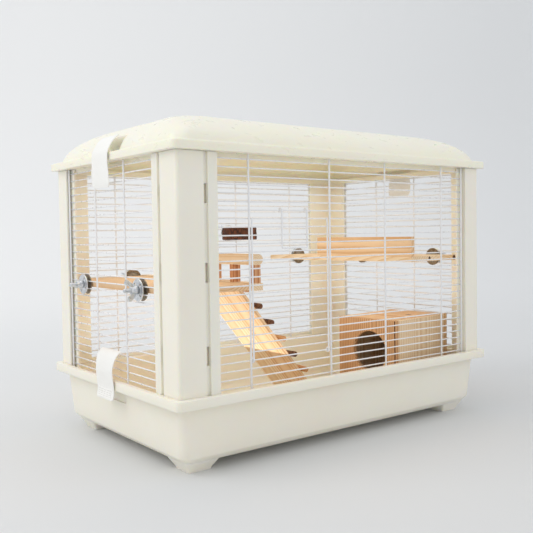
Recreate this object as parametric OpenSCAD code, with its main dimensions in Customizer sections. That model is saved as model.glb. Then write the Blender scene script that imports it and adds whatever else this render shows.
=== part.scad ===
// Hamster cage: a moulded base tray, four corner posts, four wire panels with a
// drop-down front door, a domed roof cover on rocking clips, and wooden furniture
// held to the wires by bolts, washers and wing nuts.
// Millimetres, Z up. The origin lies under the middle of the cage, on the surface
// that its feet stand on. -Y is the door side, -X the balcony end.

/* [Tray] */
// Length of the tray rim, left to right
rim_l = 600; // [598:0.5:602]
// Depth of the tray rim, front to back
rim_w = 382; // [380:0.5:384]
// Height of the top of the tray rim
rim_z = 102.5; // [102:0.1:103]
// Height of the ledge inside the rim that the posts stand on
ledge_z = 97.5; // [96:0.1:97.5]
// Height of the tray floor
floor_z = 16.7; // [16:0.1:16.7]
// Height of the feet
foot_h = 14; // [12:0.5:15]
// Corner radius of the tray and roof rims
rim_r = 8; // [7.5:0.5:9]

/* [Posts] */
// Distance from the rim edge in to the outer faces of the posts
post_inset = 9; // [8.8:0.1:9]
// Thickness of the post legs
post_t = 10.5; // [10.4:0.1:10.6]
// Height of the top of the posts
post_top = 404.4; // [404:0.1:404.5]

/* [Wires] */
// Number of level wires in a panel
rows = 28; // [28:1:28]
// Height of the lowest level wire
row_z0 = 104.8; // [104.6:0.1:105]
// Spacing of the level wires
pitch = 10.86; // [10.84:0.01:10.88]
// Radius of the level wires
row_r = 0.95; // [0.9:0.05:1]
// Radius of the upright wires
bar_r = 1.35; // [1.3:0.05:1.4]
// Depth of the level wires behind the post faces
row_in = 6.3; // [6.3:0.05:6.35]
// Depth of the upright wires behind the post faces
bar_in = 4.15; // [4.15:0.05:4.2]

/* [Door] */
// Lower row of the door opening: the hinge wire
door_row0 = 3; // [3:1:3]
// Upper row of the door opening
door_row1 = 21; // [21:1:21]
// Left stile of the door
door_x0 = -176.5; // [-177:0.1:-176]
// Right stile of the door
door_x1 = -45; // [-45.5:0.1:-44.5]

/* [Roof] */
// Height of the underside of the roof rim
roof_z = 404.8; // [404.8:0.1:405.2]
// Height of the roof rim band
roof_band = 11.5; // [11:0.1:12]
// Height of the dome above its own base
dome_h = 46.7; // [40:0.5:50]
// Wall thickness of the dome
dome_t = 2.5; // [2:0.1:3]

/* [Furniture] */
// Thickness of the wooden boards
board_t = 8; // [7:0.5:8]
// Underside of the balcony floor
balcony_z = 226.6; // [226.4:0.1:226.8]
// Underside of the shelf
shelf_z = 253.3; // [253.1:0.1:253.5]
// Slope of the ladder below level
ladder_a = 50.2; // [50:0.1:50.2]
// Turn of the house on the tray floor
house_turn = 6.2; // [5:0.1:6.5]
// Height of the house walls
house_h = 144; // [130:1:144]
// Radius of the house doorway
doorway_r = 33; // [25:1:35]

/* [Fasteners] */
// Radius of the bolts
bolt_r = 3; // [2.8:0.1:3]
// Radius of the washers
washer_r = 15; // [12:0.5:15]
// Running clearance between a wing nut and its bolt
nut_gap = 0.05; // [0.02:0.01:0.1]

/* [Hidden] */

// the nuts stick out only at the back, so the whole frame sits forward of the origin
frame_dy = -5;
post_x = rim_l / 2 - post_inset;      // outer faces of the posts
post_y = rim_w / 2 - post_inset;
row_x = post_x - row_in;              // planes of the level wires
row_y = post_y - row_in;
bar_x = post_x - bar_in;              // planes of the upright wires
bar_y = post_y - bar_in;
post_foot = ledge_z + 0.2;
bar_z0 = ledge_z + 0.5;
bar_z1 = post_top - 0.2;
web_z = [139, 242.7, 341];            // lower ends of the slots in the post grooves
skirt_z = roof_z - 5.4;               // lower edge of the skirt inside the roof rim
door_zh = row_z0 + pitch * door_row0; // door hinge height
bolt_zb = balcony_z + 4;              // bolt heights
bolt_zs = shelf_z + 4;
bolt_zt = 304.5;
left_y = [-76.4, 97.3];
right_y = [-92.6, 82];
back_x = [-166.8, 198.7, 33.5];
ladder_px = -135.5;                   // ladder pivot
ladder_pz = 233.1;
ladder_l = 278.2;
house_x = 122.4;                      // near corner of the house
house_y = -151.7;
house_z = floor_z + 0.3;
house_f = 144.3;                      // length of its front
house_s = 117.2;                      // length of its sides
cream = [0.95, 0.93, 0.85];
wire_white = [0.97, 0.97, 0.95];
pine = [0.89, 0.73, 0.52];
pine_dark = [0.80, 0.58, 0.36];
zinc = [0.75, 0.76, 0.76];

function row(k) = row_z0 + pitch * k;

module at_frame() translate([0, frame_dy, 0]) children();

// flat rounded rectangle with true arcs
module rrect(l, w, r) {
    square([l - 2 * r, w], center = true);
    square([l, w - 2 * r], center = true);
    for (sx = [-1, 1], sy = [-1, 1])
        translate([sx * (l / 2 - r), sy * (w / 2 - r)]) circle(r = r, $fn = 48);
}

// the four corner discs of one level of a hull
module level(l, w, r, z, n = 32)
    for (sx = [-1, 1], sy = [-1, 1])
        translate([sx * (l / 2 - r), sy * (w / 2 - r), z]) cylinder(r = r, h = 0.02, $fn = n);

// points along an arc, for the rounded corners of the clips
function arc(x, y, r, a0, a1) = [for (a = [a0 : 15 : a1]) [x + r * cos(a), y + r * sin(a)]];

// straight wire between two points
module wire(a, b, r, n = 8) {
    d = b - a;
    len = norm(d);
    translate(a) rotate([0, acos(d[2] / len), atan2(d[1], d[0])])
        rotate([0, 0, 180 / n]) cylinder(r = r / cos(180 / n), h = len, $fn = n);
}

// round wire between two points
module round_wire(a, b, r) {
    d = b - a;
    len = norm(d);
    translate(a) rotate([0, acos(d[2] / len), atan2(d[1], d[0])])
        cylinder(r = r, h = len, $fn = 24);
}

// ------------------------------------------------------------------ tray

module foot()
    hull() {
        translate([0, 0, foot_h + 0.5]) level(50, 50, 4, 0);
        level(36, 36, 2.5, 4);
        level(34, 34, 2.5, 0);
    }

module base_tray() color(cream) at_frame() difference() {
    union() {
        // tapering bowl with a rounded lower edge
        hull() {
            level(544, 326, 10, foot_h);
            level(555, 337, 13, foot_h + 3);
            level(561, 343, 15, foot_h + 8);
            level(573.6, 355.6, 13, ledge_z - 2.7);
        }
        // rim band, hollow underneath
        difference() {
            translate([0, 0, 89.5]) linear_extrude(rim_z - 89.5) rrect(rim_l, rim_w, rim_r);
            translate([0, 0, 88]) linear_extrude(ledge_z - 3.2 - 88)
                rrect(rim_l - 5.2, rim_w - 5.2, rim_r - 2.6);
        }
        for (sx = [-1, 1], sy = [-1, 1]) translate([sx * 247, sy * 138, 0]) foot();
    }
    // inside
    hull() {
        level(536, 318, 8, floor_z);
        level(551, 333, 12, floor_z + 9);
        level(563, 345, 10, ledge_z + 1);
    }
    // seat for the posts and the panels
    translate([0, 0, ledge_z]) linear_extrude(10) rrect(rim_l - 17.2, rim_w - 17.2, 5.4);
    // finger pockets behind the two clips
    for (s = [-1, 1]) translate([s * 290, 0.5, 79.5]) cube([14, 54, 19], center = true);
}

// rocking clip over a rim: u is the distance from the middle of the cage
module tray_clip_side() {
    po = [[291, 144.5], [296, 141.5], [300.5, 136], [303.9, 126], [305.3, 116], [304.9, 109.5],
          [303.8, 100], [303, 92], [303.2, 86], [304.2, 80], [305.6, 75.6]];
    pin = [[303.7, 75.6], [302.3, 80], [301.2, 86], [300.9, 92], [301.8, 100], [302.9, 109.5],
           [303.3, 116], [301.9, 126], [298.8, 135], [295, 139.6], [290.6, 142.4]];
    polygon(concat(po, pin));
}

module tray_clip() intersection() {
    union() {
        translate([0, 40, 0]) rotate([90, 0, 0]) linear_extrude(80) tray_clip_side();
        // pivot barrel and finger ribs
        translate([302.3, -24.5, 89.5]) rotate([-90, 0, 0]) cylinder(r = 1.5, h = 50, $fn = 24);
        for (z = [78, 80.8, 83.6]) translate([302.6 + (86 - z) * 0.16, -17, z - 0.5]) cube([1.6, 36, 1]);
    }
    translate([280, 0, 0]) rotate([90, 0, 90]) linear_extrude(40)
        polygon(concat(arc(20, 81.6, 6, -90, 0), [[26, 120], [30, 145], [-29, 145], [-25, 120]],
                       arc(-19, 81.6, 6, 180, 270)));
}

module left_tray_clip() color(wire_white) at_frame() mirror([1, 0, 0]) tray_clip();
module right_tray_clip() color(wire_white) at_frame() tray_clip();

// ------------------------------------------------------------------ posts

module post_core(lx, ly) {
    translate([5, 0]) square([lx - 5, post_t]);
    translate([0, 5]) square([post_t, ly - 5]);
    translate([5, 5]) circle(r = 5, $fn = 32);
}

// slotted groove and flange outside the wires, and a web inside them
module groove_side() {
    translate([39, 3.2]) square([8.1, 2]);
    translate([45.5, 0]) square([1.6, 5.2]);
    translate([45.5, 0]) square([14.1, 2.8]);
    translate([38.5, post_t - 2.8]) square([24, 2.8]);
}

// swaps X and Y
module swapped() mirror([1, -1, 0]) children();

// post with a slotted groove on both sides
module post_a() difference() {
    translate([0, 0, post_foot]) linear_extrude(post_top - post_foot) {
        post_core(39.2, 39.2);
        groove_side();
        swapped() groove_side();
    }
    for (z = web_z) {
        translate([39.2, -1, z]) cube([6.3, 7, 24]);
        translate([-1, 39.2, z]) cube([7, 6.3, 24]);
    }
}

// post with a slotted groove on one side, and a plain skin on the other
module post_c() difference() {
    translate([0, 0, post_foot]) linear_extrude(post_top - post_foot) {
        post_core(39.2, 39.2);
        groove_side();
        translate([0, 38.5]) square([2.8, 9.3]);
        translate([post_t - 2.8, 38.5]) square([2.8, 13.2]);
    }
    for (z = web_z) translate([39.2, -1, z]) cube([6.3, 7, 24]);
}

// plain post: a web inside the wires on both sides, and a skin outside them on one
module post_b() translate([0, 0, post_foot]) linear_extrude(post_top - post_foot) {
    post_core(33.5, 26);
    translate([33, post_t - 2.8]) square([12.5, 2.8]);
    translate([0, 25.5]) square([2.8, 8.5]);
    translate([post_t - 2.8, 25.5]) square([2.8, 21]);
}

module front_left_post() color(cream) at_frame() translate([-post_x, -post_y, 0]) post_a();
module back_right_post() color(cream) at_frame() translate([post_x, post_y, 0]) rotate([0, 0, 180]) post_c();
module front_right_post() color(cream) at_frame() translate([post_x, -post_y, 0]) mirror([1, 0, 0]) post_b();
module back_left_post() color(cream) at_frame() translate([-post_x, post_y, 0]) mirror([0, 1, 0]) post_b();

// ------------------------------------------------------------------ wires

module x_row(x0, x1, y, k) wire([x0, y, row(k)], [x1, y, row(k)], row_r);
module y_row(y0, y1, x, k) wire([x, y0, row(k)], [x, y1, row(k)], row_r);
module upright(x, y) translate([x, y, bar_z0]) rotate([0, 0, 22.5])
    cylinder(r = bar_r / cos(22.5), h = bar_z1 - bar_z0, $fn = 8);

// level wire along X or Y that a bolt has pushed down at each place in the list
module sprung_row(a0, a1, side, k, at, along_y) {
    dz = bolt_zs - bolt_r - row_r - 0.4 - row(k);
    path = concat([[a0, 0]],
                  [for (c = at) each [[c - 13, 0], [c - 5, dz], [c + 5, dz], [c + 13, 0]]],
                  [[a1, 0]]);
    for (i = [0 : len(path) - 2]) {
        p = path[i];
        q = path[i + 1];
        e = (q - p) / norm(q - p) * 0.2;
        f = p - (i > 0 ? e : [0, 0]);
        g = q + (i < len(path) - 2 ? e : [0, 0]);
        if (along_y) wire([side, f[0], row(k) + f[1]], [side, g[0], row(k) + g[1]], row_r);
        else wire([f[0], side, row(k) + f[1]], [g[0], side, row(k) + g[1]], row_r);
    }
}

module front_panel() color(wire_white) at_frame() {
    for (k = [0 : rows - 1])
        if (k > door_row0 && k < door_row1) {
            x_row(-243, -180, -row_y, k);
            x_row(-41.1, 255.5, -row_y, k);
        } else if (k == door_row0)
            round_wire([-243, -row_y, row(k)], [255.5, -row_y, row(k)], row_r);
        else x_row(-243, 255.5, -row_y, k);
    for (x = [-238.5, -180.8, -40.3, 71.1, 200.5, 251.4]) upright(x, -bar_y);
}

module left_panel() color(wire_white) at_frame() {
    for (k = [0 : rows - 1]) y_row(-134, 149.5, -row_x, k);
    for (y = [-129.7, -38, 52.6, 146]) upright(-bar_x, y);
}

module back_panel() color(wire_white) at_frame() {
    for (k = [0 : rows - 1])
        if (k == 14) sprung_row(-255.5, 243, row_y, k, [back_x[1]], false);
        else x_row(-255.5, 243, row_y, k);
    for (x = [-251.4, -194.4, -73.2, 50, 178.7, 238.5]) upright(x, bar_y);
}

module right_panel() color(wire_white) at_frame() {
    for (k = [0 : rows - 1])
        if (k == 14) sprung_row(-149.5, 142.3, row_x, k, right_y, true);
        else y_row(-149.5, 142.3, row_x, k);
    for (y = [-139.1, -46.9, 46.4, 129.7]) upright(bar_x, y);
}

module front_door() color(wire_white) at_frame() {
    for (k = [door_row0 + 1 : door_row1 - 1]) x_row(door_x0 - 0.8, door_x1 + 0.8, -row_y, k);
    for (x = [door_x0, door_x1]) {
        translate([x, -bar_y, door_zh + 1.2]) rotate([0, 0, 22.5])
            cylinder(r = 1.25 / cos(22.5), h = row(door_row1 - 1) - 0.2 - door_zh, $fn = 8);
        // hinge loop round the lower wire
        translate([x, -row_y, door_zh]) rotate([0, 90, 0]) rotate_extrude($fn = 48)
            translate([2.55, 0]) circle(r = 1.2, $fn = 16);
    }
}

module door_latch() color(wire_white) at_frame() {
    y0 = -bar_y - 0.1;
    y1 = -row_y + 3.4;
    zt = row(door_row1) + 2.9;
    for (x = [-126.7, -82.9]) {
        wire([x, y0, 282], [x, y0, zt], 1.1);
        wire([x, y0 - 1, zt - 0.1], [x, y1 + 1, zt - 0.1], 1.1);
        wire([x, y1, zt], [x, y1, row(door_row1) - 2.4], 1.1);
    }
    wire([-127.7, y0, 282.5], [-81.9, y0, 282.5], 1.1);
}

// ------------------------------------------------------------------ roof

dome_l = rim_l - 20.6;
dome_w = rim_w - 20.6;
dome_z = roof_z + roof_band - 1;
function dome_in(t) = 1 - pow(cos(t), 1.13);
function dome_up(t) = pow(sin(t), 1.13);

module dome_solid(off, top)
    hull() for (t = [0 : 11.25 : 90])
        level(dome_l - 2 * off - 137.4 * dome_in(t), dome_w - 2 * off - 185 * dome_in(t),
              20 - off + 14 * dome_in(t), dome_z + (top - 0.02) * dome_up(t), 24);

module roof_cover() color(cream) at_frame() {
    difference() {
        union() {
            translate([0, 0, roof_z]) linear_extrude(roof_band) rrect(rim_l, rim_w, rim_r);
            dome_solid(0, dome_h);
        }
        // hollow under the dome and between the rims
        dome_solid(dome_t, dome_h - dome_t);
        translate([0, 0, roof_z - 1]) linear_extrude(roof_band + 0.5) rrect(dome_l - 8, dome_w - 8, 10);
        // finger pockets behind the two clips
        for (s = [-1, 1]) translate([s * 288, 0.5, 431]) cube([24, 70, 28], center = true);
    }
    // skirt inside the posts, hanging from a lip under the rim
    difference() {
        union() {
            translate([0, 0, roof_z]) linear_extrude(3) rrect(dome_l - 7, dome_w - 7, 10);
            translate([0, 0, skirt_z]) linear_extrude(roof_z - skirt_z + 1)
                rrect(2 * (post_x - post_t) - 0.8, 2 * (post_y - post_t) - 0.8, 4);
        }
        translate([0, 0, skirt_z - 1]) linear_extrude(20)
            rrect(2 * (post_x - post_t) - 5.6, 2 * (post_y - post_t) - 5.6, 2);
    }
    // walls of the finger pockets, hanging inside the dome
    for (s = [-1, 1]) {
        intersection() {
            dome_solid(0, dome_h);
            translate([s * 274.75, 0.5, 429]) cube([2.5, 75, 28], center = true);
        }
        for (y = [-35.75, 36.75]) intersection() {
            dome_solid(0, dome_h);
            translate([s * 281.75, y, 429]) cube([16.5, 2.5, 28], center = true);
        }
    }
}

module roof_clip_side() {
    po = [[301.7, 368], [303, 375], [304, 389], [304.1, 400], [304, 413], [302.4, 419.5],
          [296, 431], [290, 437.5], [284.5, 441]];
    pin = [[283.5, 439.2], [288.6, 436], [294.3, 429.8], [300.4, 418.9], [301.7, 413], [301.9, 400],
           [301.8, 389], [300.8, 375], [299.6, 368]];
    polygon(concat(po, pin));
}

module roof_clip() intersection() {
    union() {
        translate([0, 40, 0]) rotate([90, 0, 0]) linear_extrude(80) roof_clip_side();
        translate([302.3, -22.5, 416.6]) rotate([-90, 0, 0]) cylinder(r = 1.5, h = 48, $fn = 24);
    }
    translate([270, 0, 0]) rotate([90, 0, 90]) linear_extrude(50)
        polygon(concat(arc(19, 376.9, 9, -90, 0), [[28, 390], [26, 401], [26, 445], [-23, 445], [-23, 401], [-25, 390]],
                       arc(-16, 376.9, 9, 180, 270)));
}

module left_roof_clip() color(wire_white) at_frame() mirror([1, 0, 0]) roof_clip();
module right_roof_clip() color(wire_white) at_frame() roof_clip();

// ------------------------------------------------------------------ balcony

module balcony_floor() color(pine) at_frame()
    translate([-280.3, -150.6, balcony_z]) cube([123.4, 320, board_t]);

module balcony_ledge() color(pine) at_frame()
    translate([-155.3, -150.6, 225.4]) cube([16.2, 320, 10]);

module balcony_posts() color(pine) at_frame()
    for (y = [-150.6, -103.6, -56.5]) translate([-155.3, y, 235.4]) cube([12.5, 8, 24.6]);

module balcony_rail() color(pine) at_frame()
    translate([0, -48.5, 0]) rotate([90, 0, 0]) linear_extrude(102.1) {
        translate([-155.3, 260]) square([9.3, 14.8]);
        translate([-146, 267.4]) circle(r = 7.4, $fn = 48);
    }

// ------------------------------------------------------------------ ladder

module on_ladder() at_frame() translate([ladder_px, 0, ladder_pz]) rotate([0, ladder_a, 0]) children();

module ladder_planks() color(pine) on_ladder()
    for (y = [-77.4, -25]) difference() {
        union() {
            translate([0, y, -3]) cube([ladder_l, 52.2, 6]);
            translate([0, y, 0]) rotate([-90, 0, 0]) cylinder(r = 3, h = 52.2, $fn = 32);
        }
    }

module ladder_rungs() color(pine_dark) on_ladder()
    for (i = [0 : 7]) translate([20.7 + 34 * i, -85.4, 7.7])
        rotate([-90, 0, 0]) cylinder(r = 4.7, h = 120.6, $fn = 32);

// ------------------------------------------------------------------ shelf and step

module shelf_board() color(pine) at_frame() translate([0, 0, shelf_z]) linear_extrude(board_t)
    polygon([[123.4, 168.4], [161, -150.6], [280.3, -150.6], [280.3, 168.4]]);

module shelf_fence() color(pine) at_frame() translate([161, -150.6, shelf_z + board_t])
    rotate([0, 0, atan2(319, -37.6)]) translate([0, -8, 0]) cube([201, 8, 32.4]);

module bark_step() color(pine_dark) at_frame() translate([31.4, 141.2, 291.8])
    cylinder(r = 32.4, h = 21.5, $fn = 64);

// ------------------------------------------------------------------ house

module on_house() at_frame() translate([house_x, house_y, house_z]) rotate([0, 0, house_turn]) children();

module house_left_wall() color(pine_dark) on_house() difference() {
    cube([board_t, house_s, house_h]);
    translate([-1, 52.8, 91]) rotate([0, 90, 0]) cylinder(r = doorway_r, h = board_t + 2, $fn = 64);
}

module house_right_wall() color(pine) on_house()
    translate([house_f - board_t, 0, 0]) cube([board_t, house_s, house_h]);

module house_front_wall() color(pine) on_house()
    translate([board_t, 0, 0]) cube([house_f - 2 * board_t, board_t, house_h]);

module house_back_wall() color(pine) on_house()
    translate([board_t, house_s - board_t, 0]) cube([house_f - 2 * board_t, board_t, house_h]);

module house_cleats() color(pine) on_house()
    for (x = [board_t, house_f - board_t - 10])
        translate([x, board_t, house_h - board_t - 10.4]) cube([10, house_s - 2 * board_t, 10]);

module house_roof() color(pine) on_house()
    translate([board_t + 0.8, board_t + 0.8, house_h - board_t])
        cube([house_f - 2 * board_t - 1.6, house_s - 2 * board_t - 1.6, board_t]);

// ------------------------------------------------------------------ fasteners

// place children at a bolt, with +Z pointing out of the cage and 0 at the post face
module at_left(i) at_frame() translate([-post_x, left_y[i], bolt_zb]) rotate([0, -90, 0]) children();
module at_right(i) at_frame() translate([post_x, right_y[i], bolt_zs]) rotate([0, 90, 0]) children();
module at_back(i) at_frame() translate([back_x[i], post_y, [bolt_zb, bolt_zs, bolt_zt][i]])
    rotate([-90, 0, 0]) children();

module bolt(inner) translate([0, 0, -inner]) cylinder(r = bolt_r, h = inner + 19, $fn = 32);

module mounting_bolts() color(zinc) {
    for (i = [0, 1]) at_left(i) bolt(post_x - 280.3);
    for (i = [0, 1]) at_right(i) bolt(post_x - 280.3);
    at_back(0) bolt(post_y - 169.4);
    at_back(1) bolt(post_y - 168.4);
    at_back(2) bolt(post_y - 173.6);
}

module washer(z, t) translate([0, 0, z]) difference() {
    cylinder(r = washer_r, h = t, $fn = 48);
    translate([0, 0, -1]) cylinder(r = bolt_r + 0.3, h = t + 2, $fn = 32);
}

module inner_washers() color([0.5, 0.46, 0.4]) {
    for (i = [0, 1]) at_left(i) washer(-row_in - row_r - 2, 1.6);
    for (i = [0, 1]) at_right(i) washer(-row_in - row_r - 2, 1.6);
    for (i = [0, 1]) at_back(i) washer(-row_in - row_r - 2, 1.6);
}

module outer_washers() color(zinc) {
    for (i = [0, 1]) at_left(i) washer(-bar_in + bar_r + 0.3, 1.6);
    for (i = [0, 1]) at_right(i) washer(-bar_in + bar_r + 0.3, 1.6);
    for (i = [0 : 2]) at_back(i) washer(-bar_in + bar_r + 0.3, 1.6);
}

module wing_nut(turn) rotate([0, 0, turn]) difference() {
    union() {
        cylinder(r = 6.2, h = 3, $fn = 32);
        cylinder(r = 5.2, h = 8.5, $fn = 32);
        // the two wings
        rotate([90, 0, 0]) translate([0, 0, -1.2]) linear_extrude(2.4) for (s = [-1, 1]) scale([1, 1]) {
            polygon([[s * 3.4, 2], [s * 5.5, 1], [s * 12.5, 6], [s * 16, 11.5], [s * 9, 15], [s * 6.5, 9.5], [s * 3.4, 8]]);
            translate([s * 12.4, 12.9]) circle(r = 3.9, $fn = 32);
        }
    }
    translate([0, 0, -1]) cylinder(r = bolt_r + nut_gap, h = 20, $fn = 32);
}

module nut_at() translate([0, 0, 0.6]) children();

module left_front_wing_nut() color(zinc) at_left(0) nut_at() wing_nut(20);
module left_rear_wing_nut() color(zinc) at_left(1) nut_at() wing_nut(100);
module right_front_wing_nut() color(zinc) at_right(0) nut_at() wing_nut(60);
module right_rear_wing_nut() color(zinc) at_right(1) nut_at() wing_nut(150);
module balcony_wing_nut() color(zinc) at_back(0) nut_at() wing_nut(40);
module shelf_wing_nut() color(zinc) at_back(1) nut_at() wing_nut(120);
module step_wing_nut() color(zinc) at_back(2) nut_at() wing_nut(75);

// ------------------------------------------------------------------ drawing

base_tray();
left_tray_clip();
right_tray_clip();
front_left_post();
front_right_post();
back_left_post();
back_right_post();
front_panel();
left_panel();
back_panel();
right_panel();
front_door();
door_latch();
roof_cover();
left_roof_clip();
right_roof_clip();
balcony_floor();
balcony_ledge();
balcony_posts();
balcony_rail();
ladder_planks();
ladder_rungs();
shelf_board();
shelf_fence();
bark_step();
house_left_wall();
house_front_wall();
house_right_wall();
house_back_wall();
house_cleats();
house_roof();
mounting_bolts();
inner_washers();
outer_washers();
left_front_wing_nut();
left_rear_wing_nut();
right_front_wing_nut();
right_rear_wing_nut();
balcony_wing_nut();
shelf_wing_nut();
step_wing_nut();
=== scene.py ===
import bpy, bmesh, math, random
from mathutils import Vector, Matrix, noise


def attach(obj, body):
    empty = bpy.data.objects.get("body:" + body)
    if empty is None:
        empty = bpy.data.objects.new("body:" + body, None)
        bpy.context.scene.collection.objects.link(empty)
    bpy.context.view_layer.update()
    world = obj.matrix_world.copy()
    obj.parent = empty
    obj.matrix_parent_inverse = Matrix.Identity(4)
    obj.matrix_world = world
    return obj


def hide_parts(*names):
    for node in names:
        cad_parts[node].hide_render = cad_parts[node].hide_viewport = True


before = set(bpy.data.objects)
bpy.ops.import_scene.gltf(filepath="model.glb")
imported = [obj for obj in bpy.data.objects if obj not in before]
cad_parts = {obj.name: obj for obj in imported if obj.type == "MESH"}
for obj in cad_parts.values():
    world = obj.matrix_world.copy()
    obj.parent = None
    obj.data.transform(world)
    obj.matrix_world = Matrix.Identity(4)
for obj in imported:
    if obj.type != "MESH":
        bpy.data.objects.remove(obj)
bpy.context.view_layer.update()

MM = 0.001
DY = -5.0                      # the whole cage sits 5 mm forward of the origin, as in the CAD
ROW0, PITCH = 104.8, 10.86
PX, PY = 291.0, 182.0          # outer faces of the posts
RX, RY = PX - 6.3, PY - 6.3    # planes of the level wires
BX, BY = PX - 4.15, PY - 4.15  # planes of the upright wires


def V(x, y, z):
    return Vector((x * MM, (y + DY) * MM, z * MM))


def row(k):
    return ROW0 + PITCH * k


def lin(r, g, b):
    out = []
    for c in (r, g, b):
        c /= 255.0
        out.append(c / 12.92 if c <= 0.04045 else ((c + 0.055) / 1.055) ** 2.4)
    return (*out, 1.0)


# ------------------------------------------------------------------ materials


class Mat:
    """A node material with short calls for its nodes."""

    def __init__(self, name):
        self.m = bpy.data.materials.new(name)
        self.m.use_nodes = True
        self.t = self.m.node_tree
        self.t.nodes.clear()
        self.out = self.t.nodes.new("ShaderNodeOutputMaterial")
        self.b = self.t.nodes.new("ShaderNodeBsdfPrincipled")
        self.t.links.new(self.b.outputs[0], self.out.inputs[0])
        self.tc = self.t.nodes.new("ShaderNodeTexCoord")
        self.co = self.tc.outputs["Object"]

    def put(self, sock, v):
        if isinstance(v, bpy.types.NodeSocket):
            self.t.links.new(v, sock)
        else:
            sock.default_value = v

    def math(self, op, a, b=0.0, c=0.0, clamp=False):
        n = self.t.nodes.new("ShaderNodeMath")
        n.operation = op
        n.use_clamp = clamp
        self.put(n.inputs[0], a)
        self.put(n.inputs[1], b)
        self.put(n.inputs[2], c)
        return n.outputs[0]

    def scaled(self, v, s, loc=(0, 0, 0), rot=(0, 0, 0)):
        n = self.t.nodes.new("ShaderNodeMapping")
        self.put(n.inputs[0], v)
        n.inputs["Scale"].default_value = s
        n.inputs["Location"].default_value = loc
        n.inputs["Rotation"].default_value = rot
        return n.outputs[0]

    def noise(self, v, scale, detail=2.0, rough=0.5, dist=0.0, out=0):
        n = self.t.nodes.new("ShaderNodeTexNoise")
        self.put(n.inputs["Vector"], v)
        n.inputs["Scale"].default_value = scale
        n.inputs["Detail"].default_value = detail
        n.inputs["Roughness"].default_value = rough
        n.inputs["Distortion"].default_value = dist
        return n.outputs[out]

    def voronoi(self, v, scale, feature="F1"):
        n = self.t.nodes.new("ShaderNodeTexVoronoi")
        n.feature = feature
        self.put(n.inputs["Vector"], v)
        n.inputs["Scale"].default_value = scale
        return n.outputs["Distance"]

    def ramp(self, f, stops, interp="LINEAR"):
        n = self.t.nodes.new("ShaderNodeValToRGB")
        n.color_ramp.interpolation = interp
        self.put(n.inputs[0], f)
        e = n.color_ramp.elements
        while len(e) < len(stops):
            e.new(0.5)
        for i, (p, c) in enumerate(stops):
            e[i].position = p
            e[i].color = c if hasattr(c, "__len__") else (c, c, c, 1)
        return n.outputs[0]

    def mix(self, f, a, b, mode="MIX"):
        n = self.t.nodes.new("ShaderNodeMix")
        n.data_type = "RGBA"
        n.blend_type = mode
        self.put(n.inputs[0], f)
        self.put(n.inputs[6], a)
        self.put(n.inputs[7], b)
        return n.outputs[2]

    def bump(self, h, strength, dist, normal=None):
        n = self.t.nodes.new("ShaderNodeBump")
        n.inputs["Strength"].default_value = strength
        n.inputs["Distance"].default_value = dist
        self.put(n.inputs["Height"], h)
        if normal is not None:
            self.put(n.inputs["Normal"], normal)
        return n.outputs[0]

    def color(self, v):
        self.put(self.b.inputs["Base Color"], v)

    def rough(self, v):
        self.put(self.b.inputs["Roughness"], v)

    def normal(self, v):
        self.put(self.b.inputs["Normal"], v)


def plastic(name, rgb, dark, rough=0.4, sss=0.0, spec=0.45):
    """Injection-moulded plastic: faint flow clouds, fine spark-eroded grain."""
    m = Mat(name)
    clouds = m.noise(m.co, 7.0, 4.0, 0.6, 0.4)
    c = m.ramp(clouds, [(0.3, lin(*dark)), (0.7, lin(*rgb))])
    specks = m.noise(m.co, 420.0, 1.0)
    c = m.mix(m.ramp(specks, [(0.70, 0.0), (0.80, 0.25)]), c, lin(*[v * 0.93 for v in rgb]))
    m.color(c)
    scuff = m.noise(m.scaled(m.co, (1, 1, 3)), 38.0, 5.0, 0.65, 0.6)
    m.rough(m.ramp(scuff, [(0.3, rough - 0.05), (0.75, rough + 0.08)]))
    grain = m.noise(m.co, 1500.0, 2.0)
    wave = m.noise(m.co, 16.0, 2.0)
    m.normal(m.bump(wave, 0.05, 0.002, m.bump(grain, 0.10, 0.00012)))
    m.b.inputs["Specular IOR Level"].default_value = spec
    if sss:
        m.b.inputs["Subsurface Weight"].default_value = sss
        m.b.inputs["Subsurface Radius"].default_value = (1.0, 0.72, 0.32)
        m.b.inputs["Subsurface Scale"].default_value = 0.006
    return m.m


def powder_coat(name, rgb):
    m = Mat(name)
    n = m.noise(m.co, 60.0, 3.0)
    m.color(m.ramp(n, [(0.3, lin(*[v * 0.975 for v in rgb])), (0.7, lin(*rgb))]))
    m.rough(m.ramp(m.noise(m.co, 140.0, 2.0), [(0.3, 0.24), (0.7, 0.36)]))
    m.normal(m.bump(m.noise(m.co, 900.0, 2.0), 0.18, 0.00015))
    m.b.inputs["Coat Weight"].default_value = 0.35
    m.b.inputs["Coat Roughness"].default_value = 0.18
    return m.m


def zinc(name, rgb, dark, rough=0.26, metal=1.0):
    m = Mat(name)
    sp = m.noise(m.co, 260.0, 4.0, 0.65, 0.8)
    m.color(m.ramp(sp, [(0.3, lin(*dark)), (0.62, lin(*rgb))]))
    m.b.inputs["Metallic"].default_value = metal
    m.rough(m.ramp(m.noise(m.co, 480.0, 3.0), [(0.3, rough - 0.06), (0.75, rough + 0.14)]))
    m.normal(m.bump(m.noise(m.co, 1200.0, 3.0), 0.25, 0.0001))
    return m.m


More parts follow.
